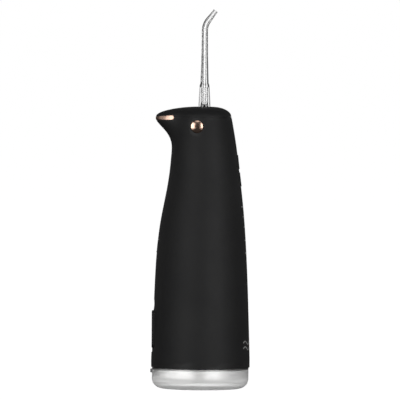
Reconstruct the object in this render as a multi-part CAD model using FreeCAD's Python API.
"""Cordless water flosser with a bird-shaped head, a lift-off water tank and a plug-in jet tip.

Units are millimetres. +Z is up, the origin is the centre of the tank's underside, +X is the
control side (front) and -X is the side of the beak and the fill door (rear).
"""
import FreeCAD, Part
import math
import os

Vec = FreeCAD.Vector

# ---------------------------------------------------------------- driving dimensions
# Body outline: height, centre of the round section along X, radius of the section.
BODY_STATIONS = [
    (16.2, 0.13, 37.50),
    (38.0, 0.23, 36.90),
    (59.4, 0.33, 36.10),
    (82.0, 0.33, 35.25),
    (105.0, 0.43, 34.00),
    (128.0, 1.03, 31.80),
    (150.6, 2.03, 28.50),
    (165.0, 2.23, 26.50),
    (178.0, 2.08, 25.15),
    (187.0, 1.68, 24.30),
    (196.2, 1.33, 23.10),
    (201.5, 1.18, 22.30),
    (206.6, 1.08, 21.30),
]
WALL = 2.2                      # shell wall
SEAM_Z = 206.6                  # parting line between shell and head cap
SEAM_GAP = 0.3
TOP_Z = 214.1                   # top of the head cap
TOP_FLAT_R = 7.3                # flat around the jet tip
HEAD_X = 1.08                   # centre of the head's round part
BEAK_REACH = 14.7               # how far the beak stands out of the head
BEAK_START_Z = 179.0
BEAK_SHARPNESS = 26             # a higher power makes the beak narrower

# Water tank
FOOT_R = 36.75
FOOT_CORNER_R = 7.5
FOOT_INNER_R = 34.3
FLOOR_Z = 4.6
FLANGE_Z = 14.7                 # underside of the tank's shoulder, the weld plane
SHOULDER_Z = 15.9               # top of the shoulder
TANK_R = 31.0
TANK_WALL = 1.8
TANK_TOP_Z = 95.0
PORT_FACE_X = -31.2             # flat sealing face of the fill port
PORT_HALF_Y = 8.0
PORT_Z = (34.5, 54.0)

# Fill door
DOOR_FACE_X = -37.1
DOOR_HALF_Y = 11.0
DOOR_Z = (31.0, 58.7)
DOOR_PIVOT = (-35.2, 29.1)
KNUCKLE_R = 1.5
KNUCKLE_HALF_Y = 5.8
DOOR_PIN_R = 0.7

# Tank latch
LATCH_Z = (11.9, 14.5)
LATCH_NOSE_Z = (19.4, 21.6)

# Drive: motor, gears, yoke and pump
DRIVE_X = 9.3
MOTOR_Z = 122.5
MOTOR_R = 9.0
MODULE = 0.5
PINION_TEETH = 10
GEAR_TEETH = 40
GEAR_Z = MOTOR_Z + MODULE * (PINION_TEETH + GEAR_TEETH) / 2
GEAR_Y = (4.4, 7.6)
CRANK_R = 2.5
CRANK_PIN_R = 1.5
YOKE_Y = (8.4, 11.6)
PISTON_R = 4.5
PUMP_Y = (YOKE_Y[0] + YOKE_Y[1]) / 2
PUMP_HEAD_Z = (174.0, 182.0)

# Suction line
SUCTION_X = -1.0
SUCTION_Y = 16.0
SUCTION_R = 2.0

# Battery and circuit board
CELL_X = -12.0
CELL_R = 9.2
CELL_Z = (101.2, 166.2)
BOARD_X = (20.4, 21.6)
BOARD_Z = (104.0, 178.0)

# Jet tip and its seat
JET_X = 1.8
JET_TUBE_R = 2.3                # radius of the tube where it starts to bend
JET_BORE_R = 0.9
JET_BEND_Z = 272.0
JET_BEND_R = 13.0
JET_LEAN = 37                   # angle of the bent end from the vertical, degrees
JET_END_LENGTH = 9.2
PLUG_R = 3.0
SKIRT_R = 4.65
SEAT_R = 7.0
SEAT_Z = (189.4, 197.6)
CLIP_Z = (198.3, 200.3)

# Buttons
EYE_X = -3.6
EYE_Z = 199.4
EYE_R = 4.6
EYE_APEX_Y = 22.2               # top of a side button's domed face
EYE_DOME_R = 13.0
POWER_Z = (167.0, 177.6)
MODE_Z = (153.8, 164.4)
BUTTON_HALF_Y = 4.6
BUTTON_PROUD = 0.45
LIGHT_Z = (103.5, 113.0, 123.0, 131.0, 138.5)

# Charging port
CHARGE_Z = 108.0
CHARGE_HALF_Y = 6.5
CHARGE_HALF_Z = 4.5
CHARGE_PIVOT = (-33.35, 103.8)
CHARGE_BEAD_R = 0.55


# ---------------------------------------------------------------- small helpers
def box(x_range, y_range, z_range):
    """Axis-aligned box from three (low, high) ranges."""
    size = [high - low for low, high in (x_range, y_range, z_range)]
    corner = Vec(x_range[0], y_range[0], z_range[0])
    return Part.makeBox(size[0], size[1], size[2], corner)


def post(x, y, radius, z_range):
    """Vertical cylinder."""
    return Part.makeCylinder(radius, z_range[1] - z_range[0], Vec(x, y, z_range[0]))


def cross_rod(x, z, radius, y_range):
    """Cylinder along Y."""
    return Part.makeCylinder(radius, y_range[1] - y_range[0], Vec(x, y_range[0], z), Vec(0, 1, 0))


def tube(x, y, outer, inner, z_range):
    """Vertical tube."""
    return post(x, y, outer, z_range).cut(post(x, y, inner, z_range))


def revolved(points, x=0.0, y=0.0):
    """Solid of revolution about a vertical axis from (radius, height) points."""
    corners = [Vec(r, 0, z) for r, z in points]
    face = Part.Face(Part.makePolygon(corners + corners[:1]))
    solid = face.revolve(Vec(0, 0, 0), Vec(0, 0, 1), 360)
    solid.translate(Vec(x, y, 0))
    return solid


def pill(half_y, z_range, x_range, radius):
    """Rounded rectangle in the YZ plane, extruded along X."""
    plain = box(x_range, (-half_y, half_y), z_range)
    long_edges = [e for e in plain.Edges if abs(e.tangentAt(0).x) > 0.99]
    return plain.makeFillet(radius, long_edges)


def fused(shapes):
    """One clean solid from touching pieces."""
    whole = shapes[0]
    for piece in shapes[1:]:
        whole = whole.fuse(piece)
    return whole.removeSplitter()


# ---------------------------------------------------------------- outline of the body and head
def beak_bump(angle):
    """1 at the tip of the beak (angle 180 degrees), falling smoothly to 0 beside it."""
    return ((1 - math.cos(angle)) / 2) ** BEAK_SHARPNESS


def section(z, centre, radius, reach, steps=60):
    """Closed smooth outline at one height: a circle with the beak standing out of it."""
    points = []
    for i in range(steps):
        angle = 2 * math.pi * i / steps
        r = radius + reach * beak_bump(angle)
        points.append(Vec(centre + r * math.cos(angle), r * math.sin(angle), z))
    curve = Part.BSplineCurve()
    curve.interpolate(points, PeriodicFlag=True)
    return Part.Wire([curve.toShape()])


def beak_reach(z):
    """Reach of the beak below the parting line: nothing at its root, full at the line."""
    part = max(0.0, (z - BEAK_START_Z) / (SEAM_Z - BEAK_START_Z))
    return BEAK_REACH * (1 - math.cos(math.pi * part ** 1.65)) / 2


def body_envelope(offset):
    """Solid inside the body outline moved out by offset, from the rim to the parting line."""
    wires = []
    for z, centre, radius in BODY_STATIONS:
        wires.append(section(z, centre, radius + offset, beak_reach(z)))
    return Part.makeLoft(wires, True)


def dome_envelope(offset):
    """Solid inside the head cap's outline moved out by offset, above the parting line."""
    rise = TOP_Z - SEAM_Z + offset
    rim_r = BODY_STATIONS[-1][2]
    wires = []
    for degrees in (0, 12, 25, 38, 51, 64, 77, 90):
        turn = math.radians(degrees)
        radius = TOP_FLAT_R + (rim_r - TOP_FLAT_R) * math.cos(turn) + offset
        reach = BEAK_REACH * max(math.cos(turn), 0.0) ** 1.6
        wires.append(section(SEAM_Z + rise * math.sin(turn), HEAD_X, radius, reach))
    return Part.makeLoft(wires, True)


# ---------------------------------------------------------------- water tank
def tank_base():
    """Clear cup at the foot: floor, outer wall and a dry pocket for the latch."""
    r = FOOT_R
    c = FOOT_CORNER_R
    turn = math.radians(45)
    outer = Part.Wire([
        Part.makeLine(Vec(0, 0, 1.0), Vec(25, 0, 1.0)),
        Part.makeLine(Vec(25, 0, 1.0), Vec(26, 0, 0)),
        Part.makeLine(Vec(26, 0, 0), Vec(r - c, 0, 0)),
        Part.Arc(Vec(r - c, 0, 0),
                 Vec(r - c + c * math.sin(turn), 0, c - c * math.cos(turn)),
                 Vec(r, 0, c)).toShape(),
        Part.makeLine(Vec(r, 0, c), Vec(r, 0, FLANGE_Z)),
        Part.makeLine(Vec(r, 0, FLANGE_Z), Vec(0, 0, FLANGE_Z)),
        Part.makeLine(Vec(0, 0, FLANGE_Z), Vec(0, 0, 1.0)),
    ])
    cup = Part.Face(outer).revolve(Vec(0, 0, 0), Vec(0, 0, 1), 360)
    inside = revolved([(0, FLOOR_Z), (FOOT_INNER_R - 4, FLOOR_Z), (FOOT_INNER_R - 1.2, FLOOR_Z + 1.2),
                       (FOOT_INNER_R, FLOOR_Z + 4), (FOOT_INNER_R, FLANGE_Z + 1), (0, FLANGE_Z + 1)])
    pocket_wall = box((-36.0, -29.7), (-6.2, 6.2), (9.6, FLANGE_Z))
    cup = cup.cut(inside.cut(pocket_wall))
    pocket = box((-34.7, -30.9), (-5, 5), (LATCH_Z[0] - 1.0, FLANGE_Z + 1))
    slot = box((-37, -34), (-3.4, 3.4), (LATCH_Z[0] - 0.2, FLANGE_Z + 1))
    return cup.cut(pocket).cut(slot).removeSplitter()


def tank_body():
    """Clear upper vessel: shoulder, round wall inside the shell and the flat-faced fill port."""
    flange = revolved([(TANK_R - TANK_WALL, FLANGE_Z), (FOOT_R, FLANGE_Z), (FOOT_R, SHOULDER_Z - 0.4),
                       (FOOT_R - 0.4, SHOULDER_Z), (TANK_R - TANK_WALL, SHOULDER_Z)])
    wall = tube(0, 0, TANK_R, TANK_R - TANK_WALL, (FLANGE_Z, TANK_TOP_Z))
    boss_z = (PORT_Z[0] - 4, PORT_Z[1] + 3.5)
    boss = box((PORT_FACE_X, -24), (-11, 11), boss_z)
    boss = boss.cut(post(0, 0, TANK_R - TANK_WALL, boss_z))
    vessel = fused([flange, wall, boss])
    port = pill(PORT_HALF_Y - 1.5, (PORT_Z[0] + 1.5, PORT_Z[1] - 1.5), (PORT_FACE_X - 1, -20), 2.5)
    latch_notch = box((-34.7, -TANK_R - 0.05), (-4.4, 4.4), (FLANGE_Z - 1, SHOULDER_Z + 1))
    return vessel.cut(port).cut(latch_notch)


def tank_latch():
    """Sliding catch: a thumb knob outside, a riser and a nose that hooks into the shell."""
    knob = box((-38.0, -36.6), (-3.1, 3.1), LATCH_Z)
    knob = knob.makeFillet(0.5, [e for e in knob.Edges if e.CenterOfMass.x < -37.9])
    stem = box((-36.8, -34.2), (-3.1, 3.1), LATCH_Z)
    riser = box((-34.3, -32.7), (-4, 4), (LATCH_Z[0], LATCH_NOSE_Z[1]))
    nose = box((-35.5, -34.2), (-3.5, 3.5), LATCH_NOSE_Z)
    nose = nose.makeChamfer(0.8, [e for e in nose.Edges
                                  if e.CenterOfMass.x < -35.4 and e.CenterOfMass.z < LATCH_NOSE_Z[0] + 0.1])
    return fused([knob, stem, riser, nose])


def latch_spring():
    """Bent leaf spring between the pocket's inner wall and the latch."""
    inner, outer, thick = -30.95, -32.65, 0.25
    path = [(inner, -4.4), (outer, 0), (inner, 4.4), (inner, 3.8), (outer + thick, 0), (inner, -3.8)]
    corners = [Vec(x, y, LATCH_Z[0] + 0.3) for x, y in path]
    face = Part.Face(Part.makePolygon(corners + corners[:1]))
    return face.extrude(Vec(0, 0, 2.0))


# ---------------------------------------------------------------- shell, cap and trim
def trim_prism(growth):
    """Side outline of the copper band round the beak, extruded across the head."""
    end = Vec(-21.4 - 1.65, 0, 206.1)
    tip = Vec(-40.0, 0, 204.85)
    high, low = 1.65 + growth, 1.2 + growth
    top = Vec(end.x, 0, end.z + high)
    bottom = Vec(end.x, 0, end.z - high)
    outline = Part.Wire([
        Part.makeLine(Vec(tip.x, 0, tip.z + low), top),
        Part.Arc(top, Vec(end.x + high, 0, end.z), bottom).toShape(),
        Part.makeLine(bottom, Vec(tip.x, 0, tip.z - low)),
        Part.makeLine(Vec(tip.x, 0, tip.z - low), Vec(tip.x, 0, tip.z + low)),
    ])
    face = Part.Face(outline)
    face.translate(Vec(0, -30, 0))
    return face.extrude(Vec(0, 60, 0))


def head_envelope(offset):
    """Body and dome outlines together, without the long lower body."""
    upper = body_envelope(offset).common(box((-50, 50), (-50, 50), (195, SEAM_Z)))
    return upper.fuse(dome_envelope(offset))


def button_prism(z_range, growth, x_range=(15, 40)):
    """Rounded outline of a front button."""
    grown = (z_range[0] - growth, z_range[1] + growth)
    return pill(BUTTON_HALF_Y + growth, grown, x_range, 3.2 + growth)


def shell():
    """Black outer shell with its openings for the door, buttons, lights and charging port."""
    body = body_envelope(0).cut(body_envelope(-WALL))
    body = body.cut(box((-50, 50), (-50, 50), (SEAM_Z - SEAM_GAP / 2, SEAM_Z + 5)))
    # Door opening: a wide part for the leaf and a narrow notch for the knuckle.
    leaf = pill(DOOR_HALF_Y + 0.25, (DOOR_Z[0] - 0.7, DOOR_Z[1] + 0.3), (-45, -26), 2.4)
    notch = box((-45, -26), (-KNUCKLE_HALF_Y - 0.25, KNUCKLE_HALF_Y + 0.25),
                (DOOR_PIVOT[1] - KNUCKLE_R - 0.35, DOOR_Z[0] + 1))
    pin_hole = cross_rod(DOOR_PIVOT[0], DOOR_PIVOT[1], DOOR_PIN_R + 0.02, (-7.6, 7.6))
    body = body.cut(leaf).cut(notch).cut(pin_hole)
    # Finger recess above the door.
    scoop = Part.makeCylinder(22.0, 30, Vec(-36.0 - 21.2, -15, 64.5), Vec(0, 1, 0))
    scoop = scoop.common(pill(8.0, (DOOR_Z[1] - 1, 70.5), (-45, -26), 3.0))
    body = body.cut(scoop)
    # Catch notch for the tank latch.
    body = body.cut(box((-35.8, -33), (-4.4, 4.4), (LATCH_NOSE_Z[0] - 0.3, LATCH_NOSE_Z[1] + 0.3)))
    # Side buttons, front buttons, indicator lights and charging port.
    body = body.cut(cross_rod(EYE_X, EYE_Z, EYE_R + 0.3, (-30, 30)))
    for z_range in (POWER_Z, MODE_Z):
        body = body.cut(button_prism(z_range, 0.25))
    for z in LIGHT_Z:
        body = body.cut(Part.makeCylinder(1.0, 30, Vec(15, 0, z), Vec(1, 0, 0)))
    port_z = (CHARGE_Z - CHARGE_HALF_Z - 0.3, CHARGE_Z + CHARGE_HALF_Z + 0.6)
    body = body.cut(pill(CHARGE_HALF_Y + 0.3, port_z, (-40, -26), 2.5))
    return body.cut(trim_prism(0.06).common(head_ring()))


def head_ring(outside=3.0, inside=-1.1):
    """Band-shaped space that the copper trim lies in."""
    return head_envelope(outside).cut(head_envelope(inside))


def head_cap():
    """Domed lid of the head with a locating lip and the hole for the jet tip."""
    cap = dome_envelope(0).cut(dome_envelope(-2.0))
    cap = cap.cut(box((-50, 50), (-50, 50), (SEAM_Z - 1, SEAM_Z + SEAM_GAP / 2)))
    lip = body_envelope(-WALL - 0.15).cut(body_envelope(-WALL - 1.35))
    lip = lip.common(box((-50, 50), (-50, 50), (205.5, SEAM_Z)))
    joint = dome_envelope(-1.9).cut(dome_envelope(-WALL - 1.35))
    joint = joint.common(box((-50, 50), (-50, 50), (SEAM_Z, SEAM_Z + 2.5)))
    cap = fused([cap, lip, joint])
    cap = cap.cut(post(JET_X, 0, SKIRT_R + 0.3, (SEAM_Z, TOP_Z + 5)))
    return cap.cut(trim_prism(0.06).common(head_ring()))


def beak_trim():
    """Copper band let into the beak across the parting line."""
    return trim_prism(0).common(head_ring(0.12, -0.95))


# ---------------------------------------------------------------- fill door
def fill_door():
    """Flat-faced door leaf with a round hinge knuckle at its lower edge."""
    leaf = pill(DOOR_HALF_Y, DOOR_Z, (DOOR_FACE_X, -26), 2.2)
    leaf = leaf.cut(body_envelope(-WALL + 0.1))
    leaf = leaf.makeFillet(0.6, [e for e in leaf.Edges if abs(e.BoundBox.XMax - DOOR_FACE_X) < 0.01])
    px, pz = DOOR_PIVOT
    knuckle = cross_rod(px, pz, KNUCKLE_R, (-KNUCKLE_HALF_Y, KNUCKLE_HALF_Y))
    web = box((px - KNUCKLE_R, px + 0.9), (-KNUCKLE_HALF_Y, KNUCKLE_HALF_Y), (pz, DOOR_Z[0] + 1))
    door = fused([leaf, knuckle, web])
    return door.cut(cross_rod(px, pz, DOOR_PIN_R + 0.06, (-10, 10)))


def door_seal():
    """Silicone plug on the inside of the door that closes the tank's fill port."""
    plug = pill(PORT_HALF_Y - 0.2, (PORT_Z[0] - 0.5, PORT_Z[1] + 0.5), (-35.2, PORT_FACE_X - 0.2), 2.5)
    return plug.common(body_envelope(-WALL + 0.1))


def door_pin():
    """Steel hinge pin pressed into the shell on both sides of the knuckle."""
    return cross_rod(DOOR_PIVOT[0], DOOR_PIVOT[1], DOOR_PIN_R, (-7.4, 7.4))


# ---------------------------------------------------------------- deck, chassis and suction line
DECK_SCREWS = [(24 * math.cos(math.radians(a)), 24 * math.sin(math.radians(a))) for a in (30, 150, 270)]
DECK_Z = (95.3, 98.3)
BASE_Z = (98.4, 100.8)
FRAME_POSTS = [(-4.0, -18.0), (-8.0, 16.4)]


def deck():
    """Lid of the tank: a flange under the chassis and a hollow plug that enters the tank."""
    flange = post(0, 0, 31.2, DECK_Z)
    plug = revolved([(26.4, 87.3), (28.6, 87.3), (29.0, 87.9), (29.0, 90.0), (27.8, 90.0), (27.8, 92.0),
                     (29.0, 92.0), (29.0, DECK_Z[0]), (26.4, DECK_Z[0])])
    bosses = [post(x, y, 3.2, (89, DECK_Z[0])) for x, y in DECK_SCREWS]
    guide = post(SUCTION_X, SUCTION_Y, 3.6, (91, DECK_Z[0]))
    lid = fused([flange, plug, guide] + bosses)
    for x, y in DECK_SCREWS:
        lid = lid.cut(post(x, y, 1.05, (91, 99)))
    return lid.cut(post(SUCTION_X, SUCTION_Y, SUCTION_R + 0.02, (80, 100)))


def tank_seal():
    """Rubber ring in the deck's groove that seals the top of the tank."""
    ring = Part.makeTorus(28.42, 0.68, Vec(0, 0, 91.0))
    return ring.common(tube(0, 0, 29.12, 27.85, (90, 92)))


def deck_screws():
    """Screws that hold the chassis down on the deck."""
    return Part.makeCompound([screw(x, y, BASE_Z[1], 8.0) for x, y in DECK_SCREWS])


def screw(x, y, seat_z, length, shank=1.0, head=1.9):
    """Pan-head screw pointing down from its seat, with a cross recess."""
    body = fused([post(x, y, shank, (seat_z - length, seat_z)), post(x, y, head, (seat_z, seat_z + 1.3))])
    for wide, deep in ((1.1, 0.25), (0.25, 1.1)):
        body = body.cut(box((x - wide, x + wide), (y - deep, y + deep), (seat_z + 0.6, seat_z + 2)))
    return body


def suction_tube():
    """Straight pipe from the bottom of the tank up to the pump."""
    return tube(SUCTION_X, SUCTION_Y, SUCTION_R, 1.3, (8.0, PUMP_HEAD_Z[0] + 3))


def inlet_filter():
    """Slotted strainer on the lower end of the suction pipe."""
    x, y = SUCTION_X, SUCTION_Y
    body = fused([tube(x, y, 4.5, 3.6, (5.4, 13.0)), tube(x, y, 4.5, SUCTION_R + 0.01, (12.0, 14.5))])
    for i in range(6):
        slot = box((x + 2, x + 6), (y - 0.5, y + 0.5), (6.6, 11.4))
        slot.rotate(Vec(x, y, 0), Vec(0, 0, 1), 60 * i + 30)
        body = body.cut(slot)
    return body


def chassis():
    """Inner frame: a round base, a spine plate, the motor wall, the pump clamp and two posts."""
    base = post(0.3, 0, 30.9, BASE_Z)
    spine = box((-2.5, -1.3), (-14, 12.5), (BASE_Z[0], 168))
    motor_wall = box((-2.0, 18.9), (2.2, 3.8), (BASE_Z[0], GEAR_Z + 6))
    axle_boss = cross_rod(DRIVE_X, GEAR_Z, 3.2, (2.2, 4.2))
    clamp = tube(DRIVE_X, PUMP_Y, 8.4, 6.65, (160, 166))
    arm = box((-2.0, 2.4), (PUMP_Y - 3, PUMP_Y + 2.4), (160, 166))
    posts = [post(x, y, 2.2, (BASE_Z[0], 185.4)) for x, y in FRAME_POSTS]
    cell_ring = tube(CELL_X, 0, CELL_R + 1.3, CELL_R + 0.1, (BASE_Z[1] - 0.5, 106))
    cell_clip = tube(CELL_X, 0, CELL_R + 1.3, CELL_R + 0.1, (150, 156))
    cell_clip = cell_clip.cut(box((-40, -14), (-20, 20), (149, 157)))
    frame = fused([base, spine, motor_wall, axle_boss, clamp, arm, cell_ring, cell_clip] + posts)
    frame = frame.cut(cross_rod(DRIVE_X, MOTOR_Z, 3.1, (0, 5)))
    frame = frame.cut(cross_rod(DRIVE_X, GEAR_Z, 1.22, (0, 5)))
    frame = frame.cut(post(SUCTION_X, SUCTION_Y, SUCTION_R + 0.15, (90, 110)))
    frame = frame.cut(post(DRIVE_X, PUMP_Y, 6.65, (150, 170)))
    for dx in (-6.0, 6.0):
        frame = frame.cut(cross_rod(DRIVE_X + dx, MOTOR_Z, 0.85, (0, 5)))
    for x, y in DECK_SCREWS:
        frame = frame.cut(post(x, y, 1.15, (97, 102)))
    for x, y in FRAME_POSTS:
        frame = frame.cut(post(x, y, 0.95, (178, 186)))
    return frame


# ---------------------------------------------------------------- drive and pump
def gear(teeth, x, z, y_range, first_angle):
    """Spur gear with straight-sided teeth, its axis along Y."""
    pitch_r = MODULE * teeth / 2
    root_r = pitch_r - 1.3 * MODULE
    tip_r = pitch_r + 0.85 * MODULE
    step = 2 * math.pi / teeth
    corners = []
    for i in range(teeth):
        middle = first_angle + i * step
        for r, share in ((root_r, -0.33), (tip_r, -0.11), (tip_r, 0.11), (root_r, 0.33)):
            angle = middle + share * step
            corners.append(Vec(x + r * math.cos(angle), y_range[0], z + r * math.sin(angle)))
    face = Part.Face(Part.makePolygon(corners + corners[:1]))
    return face.extrude(Vec(0, y_range[1] - y_range[0], 0))


def motor():
    """Direct-current motor: a round can with a front boss and a plastic end cap."""
    can = cross_rod(DRIVE_X, MOTOR_Z, MOTOR_R, (-18.0, 2.1))
    end = cross_rod(DRIVE_X, MOTOR_Z, MOTOR_R - 0.7, (-20.0, -18.0))
    boss = cross_rod(DRIVE_X, MOTOR_Z, 3.0, (2.0, 3.4))
    body = fused([can, end, boss])
    body = body.cut(cross_rod(DRIVE_X, MOTOR_Z, 1.06, (-17, 5)))
    for dx in (-6.0, 6.0):
        body = body.cut(cross_rod(DRIVE_X + dx, MOTOR_Z, 0.8, (-1.2, 5)))
    return body


def motor_shaft():
    """Motor shaft with the pinion on it, one turning piece."""
    rod = cross_rod(DRIVE_X, MOTOR_Z, 1.0, (-16, 8.6))
    pinion = gear(PINION_TEETH, DRIVE_X, MOTOR_Z, GEAR_Y, math.radians(90) + math.pi / PINION_TEETH)
    return fused([rod, pinion])


def motor_screws():
    """Two screws that hold the motor to its wall."""
    screws = []
    for dx in (-6.0, 6.0):
        shank = cross_rod(DRIVE_X + dx, MOTOR_Z, 0.75, (-1.0, 3.8))
        head = cross_rod(DRIVE_X + dx, MOTOR_Z, 1.5, (3.8, 4.3))
        screws.append(fused([shank, head]))
    return Part.makeCompound(screws)


def crank_gear():
    """Large gear with a hub and an off-centre crank pin."""
    wheel = gear(GEAR_TEETH, DRIVE_X, GEAR_Z, GEAR_Y, math.radians(-90))
    pin = cross_rod(DRIVE_X + CRANK_R, GEAR_Z, CRANK_PIN_R, (GEAR_Y[1] - 0.5, YOKE_Y[1] + 0.6))
    wheel = fused([wheel, pin])
    return wheel.cut(cross_rod(DRIVE_X, GEAR_Z, 1.26, (GEAR_Y[0] - 1, GEAR_Y[1] - 0.6)))


def gear_axle():
    """Fixed steel stub that the large gear turns on."""
    return cross_rod(DRIVE_X, GEAR_Z, 1.2, (2.3, GEAR_Y[1] - 0.8))


def piston():
    """Yoke with a window round the crank pin, a rod and the pump's piston."""
    half_x = CRANK_R + CRANK_PIN_R + 0.3
    half_z = 2 * CRANK_R + CRANK_PIN_R + 0.3
    yoke_z = (GEAR_Z - half_z - 2, GEAR_Z + half_z + 2)
    yoke = box((DRIVE_X - half_x - 2, DRIVE_X + half_x + 2), YOKE_Y, yoke_z)
    window = box((DRIVE_X - half_x, DRIVE_X + half_x), (YOKE_Y[0] - 1, YOKE_Y[1] + 1),
                 (GEAR_Z - half_z, GEAR_Z + half_z))
    rod = post(DRIVE_X, PUMP_Y, 1.5, (GEAR_Z + half_z + 1, 161))
    head = revolved([(0, 160.5), (PISTON_R, 160.5), (PISTON_R, 162.6), (3.4, 162.6), (3.4, 164.2),
                     (PISTON_R, 164.2), (PISTON_R, 167), (0, 167)], DRIVE_X, PUMP_Y)
    return fused([yoke.cut(window), rod, head])


def piston_seal():
    """Rubber cup in the piston's groove."""
    return tube(DRIVE_X, PUMP_Y, PISTON_R + 0.08, 3.45, (162.7, 164.1))


def pump_cylinder():
    """Pump barrel with a guide bush for the piston rod at its lower end."""
    bore = PISTON_R + 0.12
    outside = [(1.6, 154.4), (4.0, 154.4), (6.5, 156.8), (6.5, PUMP_HEAD_Z[0])]
    inside = [(bore, PUMP_HEAD_Z[0]), (bore, 157.0), (1.6, 157.0)]
    return revolved(outside + inside, DRIVE_X, PUMP_Y)


def pump_head():
    """Manifold on top of the barrel, reaching to the suction pipe and to the outlet pipe."""
    low, high = PUMP_HEAD_Z
    spots = [(DRIVE_X, PUMP_Y, 7.6), (JET_X, 0, 4.2), (SUCTION_X, SUCTION_Y, 4.0)]
    discs = [post(x, y, r, (low, high)) for x, y, r in spots]
    corners = [Vec(x, y, low) for x, y, r in spots]
    web = Part.Face(Part.makePolygon(corners + corners[:1])).extrude(Vec(0, 0, high - low))
    block = fused(discs + [web])
    block = block.cut(post(SUCTION_X, SUCTION_Y, SUCTION_R + 0.02, (low - 1, low + 3.2)))
    block = block.cut(post(JET_X, 0, 1.8, (high - 3.2, high + 1)))
    for x in (DRIVE_X - 3.0, DRIVE_X + 3.0):
        block = block.cut(post(x, PUMP_Y, 1.7, (low - 1, low + 2.5)))
    return block


def pump_valve(x):
    """Rubber duckbill valve in the pump head."""
    return revolved([(0, 174.3), (1.6, 174.3), (1.6, 175.0), (0.9, 176.3), (0, 176.3)], x, PUMP_Y)


def inlet_valve():
    """Valve that lets water in from the suction pipe."""
    return pump_valve(DRIVE_X - 3.0)


def outlet_valve():
    """Valve that lets water out to the jet tip."""
    return pump_valve(DRIVE_X + 3.0)


def outlet_tube():
    """Short silicone pipe from the pump head to the seat housing."""
    return tube(JET_X, 0, 1.75, 0.9, (PUMP_HEAD_Z[1] - 3.0, 188.3))


# ---------------------------------------------------------------- electrics
def battery():
    """Lithium cell with a raised positive end."""
    low, high = CELL_Z
    can = [(0, low), (CELL_R - 0.3, low), (CELL_R, low + 0.3), (CELL_R, high - 2)]
    crimp = [(CELL_R - 0.5, high - 1.5), (CELL_R - 0.5, high - 1.0), (3.0, high - 1.0)]
    return revolved(can + crimp + [(3.0, high), (0, high)], CELL_X, 0)


def circuit_board():
    """Upright control board behind the buttons."""
    board = box(BOARD_X, (-8, 8), BOARD_Z)
    return board.makeFillet(1.0, [e for e in board.Edges if abs(e.tangentAt(0).x) > 0.99])


def board_parts():
    """Tact switches, indicator lights and chips soldered to the board."""
    face = BOARD_X[1]
    parts = []
    for low, high in (POWER_Z, MODE_Z):
        middle = (low + high) / 2
        parts.append(box((face, face + 1.0), (-2.2, 2.2), (middle - 2.2, middle + 2.2)))
    for z in LIGHT_Z:
        parts.append(box((face, face + 0.7), (-0.6, 0.6), (z - 0.6, z + 0.6)))
    parts.append(box((face, face + 1.0), (3.0, 7.0), (116, 122)))
    return Part.makeCompound(parts)


def light_guide():
    """Clear bar with one short light pipe for each indicator."""
    bar = box((23.0, 24.2), (-1.8, 1.8), (LIGHT_Z[0] - 1.5, LIGHT_Z[-1] + 1.5))
    pipes = [Part.makeCylinder(0.9, 16, Vec(23.6, 0, z), Vec(1, 0, 0)) for z in LIGHT_Z]
    guide = fused([bar] + pipes)
    return guide.common(body_envelope(-0.05))


def charge_socket():
    """Metal charging socket on a small carrier behind its cover."""
    z, top = CHARGE_Z, CHARGE_Z + 1.6
    outer = pill(4.4, (z - 1.6, top), (-29.6, -23.6), 1.5)
    inner = pill(4.1, (z - 1.3, top - 0.3), (-30, -24.4), 1.2)
    carrier = box((-25.0, -23.7), (-6, 6), (BASE_Z[1], z + 3))
    return fused([outer.cut(inner), carrier.cut(outer)])


def charge_cover():
    """Silicone flap flush with the shell, with a tongue inside and a round bead that it bends about."""
    z_range = (CHARGE_PIVOT[1], CHARGE_Z + CHARGE_HALF_Z)
    flap = pill(CHARGE_HALF_Y, z_range, (-40, -26), 2.2)
    flap = flap.common(body_envelope(0.05).cut(body_envelope(-1.4)))
    tongue = pill(4.6, (CHARGE_Z - 2.0, CHARGE_Z + 2.0), (-33.5, -30.4), 1.5)
    tongue = tongue.common(body_envelope(-1.2))
    bead = cross_rod(CHARGE_PIVOT[0], CHARGE_PIVOT[1], CHARGE_BEAD_R, (-3.5, 3.5))
    return fused([flap, tongue, bead])


# ---------------------------------------------------------------- head mechanism and jet tip
def seat_housing():
    """Upper frame plate with the fixed cup that the jet seat turns in."""
    plate = post(1.4, 0, 20.6, (185.5, 187.3)).common(body_envelope(-WALL - 0.4))
    cup = post(JET_X, 0, 9.2, (185.5, 197.4))
    frame = fused([plate, cup])
    frame = frame.cut(post(JET_X, 0, SEAT_R + 0.06, (SEAT_Z[0] - 0.2, 200)))
    frame = frame.cut(post(JET_X, 0, 1.8, (184, 188.5)))
    frame = frame.cut(post(JET_X, 0, 1.0, (188, 190)))
    for x, y in FRAME_POSTS:
        frame = frame.cut(post(x, y, 1.15, (184, 188)))
    return frame


def frame_screws():
    """Screws that hold the upper frame plate to the posts."""
    return Part.makeCompound([screw(x, y, 187.3, 7.0, 0.9) for x, y in FRAME_POSTS])


def nozzle_seat():
    """Turning seat that carries the jet tip and swivels it."""
    low, high = SEAT_Z
    return revolved([(1.0, low), (SEAT_R, low), (SEAT_R, low + 1.6), (SEAT_R - 1.2, low + 1.6),
                     (SEAT_R - 1.2, low + 3.2), (SEAT_R, low + 3.2), (SEAT_R, high), (PLUG_R + 0.06, high),
                     (PLUG_R + 0.06, low + 1.2), (1.0, low + 1.2)], JET_X, 0)


def seat_ring():
    """Rubber ring round the turning seat."""
    z = SEAT_Z[0] + 2.4
    return Part.makeTorus(SEAT_R - 0.62, 0.6, Vec(JET_X, 0, z)).common(
        tube(JET_X, 0, SEAT_R + 0.03, SEAT_R - 1.17, (z - 0.75, z + 0.75)))


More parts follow.
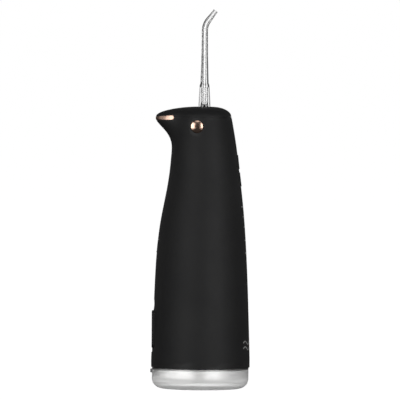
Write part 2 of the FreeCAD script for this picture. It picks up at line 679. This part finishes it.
def nozzle_clip():
    """Steel clip round the jet tip's groove; squeezing its two ears opens it."""
    low, high = CLIP_Z
    ring = tube(JET_X, 0, 3.9, 2.35, (low + 0.3, high - 0.3))
    ring = ring.cut(box((-10, JET_X - 1.5), (-0.6, 0.6), (low - 1, high + 1)))
    ears = []
    ear_x = (EYE_X - 1.2, JET_X - 1.6)
    for side in (-1, 1):
        near, far = sorted((side * 3.0, side * 5.2))
        ears.append(box(ear_x, sorted((side * 2.9, side * 3.6)), (low + 0.3, high - 0.3)))
        ears.append(box((EYE_X - 1.2, EYE_X - 0.5), (near, far), (low + 0.3, high - 0.3)))
    return fused([ring] + ears)


def release_button(side):
    """Round domed copper button on the side of the head; it pushes one ear of the clip inward."""
    y_range = sorted((side * 16.4, side * 30.0))
    dome = Part.makeSphere(EYE_DOME_R, Vec(EYE_X + 0.5, side * (EYE_APEX_Y - EYE_DOME_R), EYE_Z))
    face = cross_rod(EYE_X, EYE_Z, EYE_R, y_range).common(dome)
    flange = cross_rod(EYE_X, EYE_Z, 5.9, sorted((side * 15.4, side * 16.5)))
    rod = cross_rod(EYE_X, EYE_Z, 1.3, sorted((side * 5.9, side * 16.0)))
    return fused([face, flange, rod])


def release_button_right():
    """Release button on the -Y side."""
    return release_button(-1)


def release_button_left():
    """Release button on the +Y side."""
    return release_button(1)


def jet_path():
    """Start and end of the bend, and the middle of the jet's outlet."""
    lean = math.radians(JET_LEAN)
    start = Vec(JET_X, 0, JET_BEND_Z)
    end = Vec(JET_X + JET_BEND_R * (1 - math.cos(lean)), 0, JET_BEND_Z + JET_BEND_R * math.sin(lean))
    outlet = end + Vec(math.sin(lean), 0, math.cos(lean)) * JET_END_LENGTH
    return start, end, outlet


def bent_rod(radius):
    """Rod of constant radius along the jet's bend."""
    start = jet_path()[0]
    face = Part.Face(Part.Wire([Part.makeCircle(radius, start, Vec(0, 0, 1))]))
    return face.revolve(Vec(JET_X + JET_BEND_R, 0, JET_BEND_Z), Vec(0, 1, 0), JET_LEAN)


def jet_tip():
    """Clear hollow jet tip: plug with a clip groove, flared skirt, tapered shaft and bent end."""
    groove = (CLIP_Z[0] - 0.3, CLIP_Z[1] + 0.3)
    plug = [(0, 190.9), (PLUG_R - 0.5, 190.9), (PLUG_R, 191.6), (PLUG_R, groove[0]), (2.2, groove[0]),
            (2.2, groove[1]), (PLUG_R, groove[1]), (PLUG_R, 212.4)]
    skirt = [(SKIRT_R - 0.3, 212.4), (SKIRT_R, 212.9), (SKIRT_R - 0.1, 215.5), (SKIRT_R - 0.95, 230.0),
             (SKIRT_R - 1.25, 231.4), (3.05, 231.9)]
    taper = [(2.95, 236.0), (2.5, 252.0), (JET_TUBE_R, JET_BEND_Z), (0, JET_BEND_Z)]
    shaft = revolved(plug + skirt + taper, JET_X, 0)
    _, end, outlet = jet_path()
    direction = (outlet - end).normalize()
    nozzle = Part.makeCone(JET_TUBE_R, 1.65, JET_END_LENGTH, end, direction)
    rim = Part.makeCylinder(1.85, 1.4, outlet - direction * 1.4, direction)
    rim = rim.makeFillet(0.4, [e for e in rim.Edges if len(e.Vertexes) == 1])
    bore = post(JET_X, 0, JET_BORE_R, (190, JET_BEND_Z))
    bore_end = Part.makeCylinder(JET_BORE_R, JET_END_LENGTH + 1, end, direction)
    hollow_outline = [(3.5, 212.0), (4.1, 212.0), (3.9, 217.0), (3.3, 229.0), (2.6, 229.0), (2.6, 217.0)]
    hollow = revolved(hollow_outline, JET_X, 0)
    outside = shaft.fuse(bent_rod(JET_TUBE_R)).fuse(nozzle).fuse(rim)
    return outside.cut(bore).cut(bent_rod(JET_BORE_R)).cut(bore_end).cut(hollow)


# ---------------------------------------------------------------- front buttons
def front_button(z_range):
    """Front push button with a flange inside the shell."""
    key = button_prism(z_range, 0).common(body_envelope(BUTTON_PROUD).cut(body_envelope(-3.3)))
    flange = button_prism(z_range, 1.1).common(body_envelope(-2.5).cut(body_envelope(-3.3)))
    return fused([key, flange])


def power_button():
    """Upper front button."""
    return front_button(POWER_Z)


def mode_button():
    """Lower front button."""
    return front_button(MODE_Z)


def button_membrane():
    """Silicone sheet behind the front buttons; it springs them back and keeps water out."""
    sheet = box((10, 40), (-7.2, 7.2), (MODE_Z[0] - 3, POWER_Z[1] + 2.4))
    return sheet.common(body_envelope(-3.4).cut(body_envelope(-3.8)))


PARTS = [
    tank_base, tank_body, tank_latch, latch_spring, shell, head_cap, beak_trim, fill_door, door_seal,
    door_pin, deck, tank_seal, deck_screws, suction_tube, inlet_filter, chassis, motor, motor_shaft,
    motor_screws, crank_gear, gear_axle, piston, piston_seal, pump_cylinder, pump_head, inlet_valve,
    outlet_valve, outlet_tube, battery, circuit_board, board_parts, light_guide, charge_socket,
    charge_cover, seat_housing, frame_screws, nozzle_seat, seat_ring, nozzle_clip, release_button_right,
    release_button_left, jet_tip, power_button, mode_button, button_membrane,
]


def main():
    """Write one STEP file for each sub-part."""
    os.makedirs("parts", exist_ok=True)
    for make in PARTS:
        shape = make()
        shape.exportStep("parts/" + make.__name__ + ".step")
        print(make.__name__, len(shape.Solids), shape.isValid(), round(shape.Volume, 1))


main()
